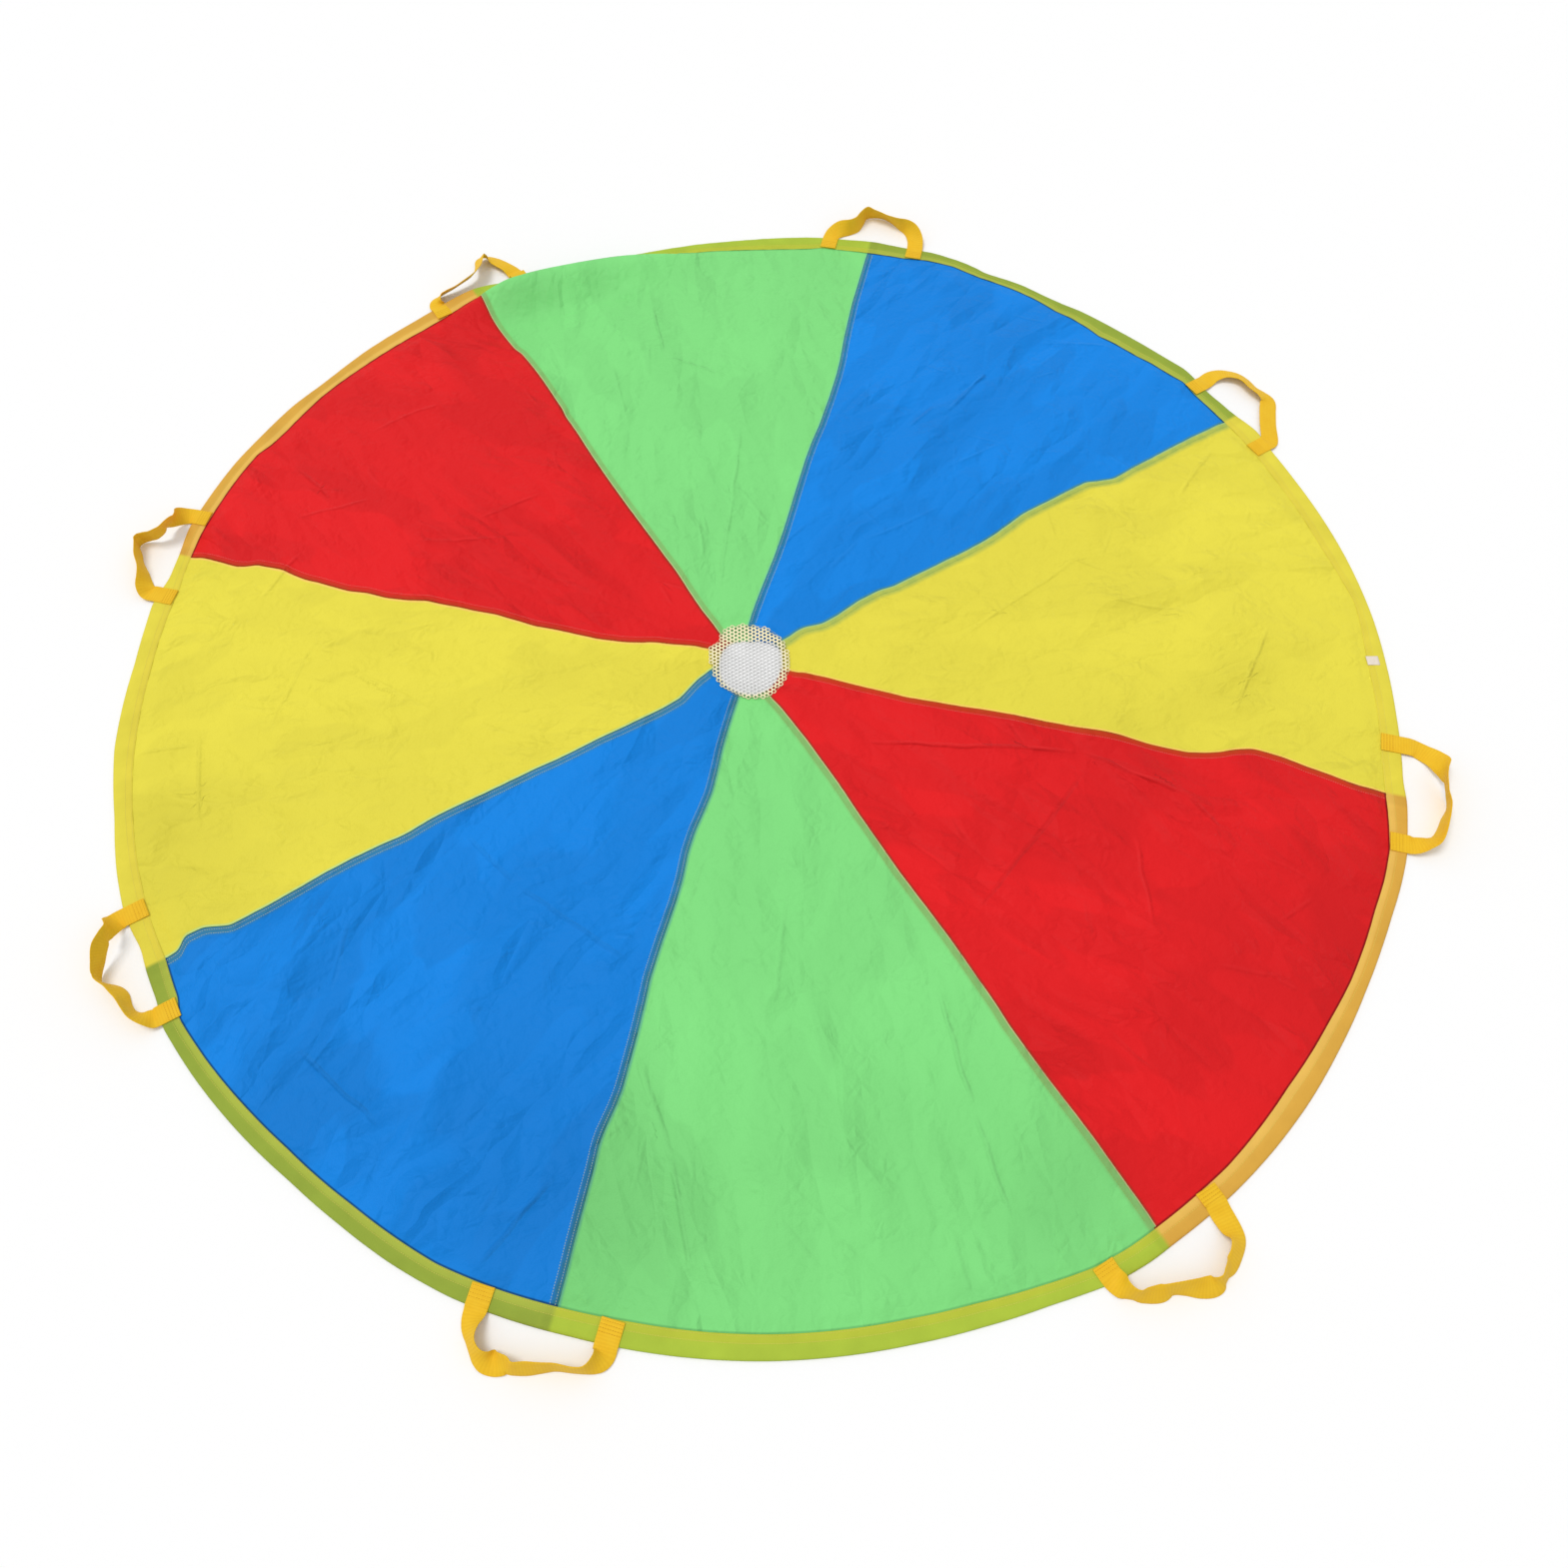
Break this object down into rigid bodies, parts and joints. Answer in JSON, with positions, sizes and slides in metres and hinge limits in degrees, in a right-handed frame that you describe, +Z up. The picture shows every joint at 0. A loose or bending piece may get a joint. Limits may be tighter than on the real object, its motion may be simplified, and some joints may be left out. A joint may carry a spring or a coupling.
{
  "type": "play parachute",
  "caption": "Round play parachute of coloured cloth gores with a mesh centre, a taped hem and webbing hand loops, laid out on the floor.",
  "frame": {"origin": "middle of the laid-out outline, handles included, on the surface that it lies on; the canopy's own middle lies at -14.4 mm in X and +1.3 mm in Y", "axes": "+Z up from the surface; +X is the direction of the seam between the last yellow and the first blue gore; gores and handles are counted counterclockwise from it"},
  "size_m": [1.926, 1.9488, 0.0449],
  "materials": {
    "blue_cloth": "thin plain-woven polyester, slightly shiny",
    "green_cloth": "thin plain-woven polyester, slightly shiny",
    "red_cloth": "thin plain-woven polyester, slightly shiny",
    "yellow_cloth": "thin plain-woven polyester, slightly shiny",
    "hem_tape": "thin folded tape, the cloth's colour showing through",
    "mesh": "fine warp-knit net",
    "webbing": "soft woven webbing, matt"
  },
  "bodies": {
    "canopy": {"gore_1_blue": "blue_cloth", "gore_2_green": "green_cloth", "gore_3_red": "red_cloth", "gore_4_yellow": "yellow_cloth", "gore_5_blue": "blue_cloth", "gore_6_green": "green_cloth", "gore_7_red": "red_cloth", "gore_8_yellow": "yellow_cloth", "mesh_centre": "mesh", "hem_binding": "hem_tape", "handle_1_end_a": "webbing", "handle_1_end_b": "webbing", "handle_2_end_a": "webbing", "handle_2_end_b": "webbing", "handle_3_end_a": "webbing", "handle_3_end_b": "webbing", "handle_4_end_a": "webbing", "handle_4_end_b": "webbing", "handle_5_end_a": "webbing", "handle_5_end_b": "webbing", "handle_6_end_a": "webbing", "handle_6_end_b": "webbing", "handle_7_end_a": "webbing", "handle_7_end_b": "webbing", "handle_8_end_a": "webbing", "handle_8_end_b": "webbing"},
    "handle_1": {"handle_1_loop": "webbing"},
    "handle_2": {"handle_2_loop": "webbing"},
    "handle_3": {"handle_3_loop": "webbing"},
    "handle_4": {"handle_4_loop": "webbing"},
    "handle_5": {"handle_5_loop": "webbing"},
    "handle_6": {"handle_6_loop": "webbing"},
    "handle_7": {"handle_7_loop": "webbing"},
    "handle_8": {"handle_8_loop": "webbing"}
  },
  "joints": [
    {"name": "handle_1_fold", "type": "hinge", "parent": "canopy", "child": "handle_1", "pos_m": [0.88379, -0.00065, 0.0054], "axis": [-0.0022, -1, 0], "range_deg": [0, 110]},
    {"name": "handle_2_fold", "type": "hinge", "parent": "canopy", "child": "handle_2", "pos_m": [0.6221, 0.63504, 0.0054], "axis": [0.7056, -0.7086, 0], "range_deg": [0, 110]},
    {"name": "handle_3_fold", "type": "hinge", "parent": "canopy", "child": "handle_3", "pos_m": [-0.02233, 0.89946, 0.0054], "axis": [1, 0.0088, 0], "range_deg": [0, 80]},
    {"name": "handle_4_fold", "type": "hinge", "parent": "canopy", "child": "handle_4", "pos_m": [-0.66344, 0.62219, 0.0054], "axis": [0.6913, 0.7226, 0], "range_deg": [0, 110]},
    {"name": "handle_5_fold", "type": "hinge", "parent": "canopy", "child": "handle_5", "pos_m": [-0.91256, 0.00923, 0.0054], "axis": [0.0088, 1, 0], "range_deg": [0, 110]},
    {"name": "handle_6_fold", "type": "hinge", "parent": "canopy", "child": "handle_6", "pos_m": [-0.6621, -0.62099, 0.0054], "axis": [-0.6928, 0.7211, 0], "range_deg": [0, 110]},
    {"name": "handle_7_fold", "type": "hinge", "parent": "canopy", "child": "handle_7", "pos_m": [-0.02233, -0.89686, 0.0054], "axis": [-1, 0.0088, 0], "range_deg": [0, 110]},
    {"name": "handle_8_fold", "type": "hinge", "parent": "canopy", "child": "handle_8", "pos_m": [0.61786, -0.63667, 0.0054], "axis": [-0.7103, -0.7039, 0], "range_deg": [0, 110]}
  ]
}
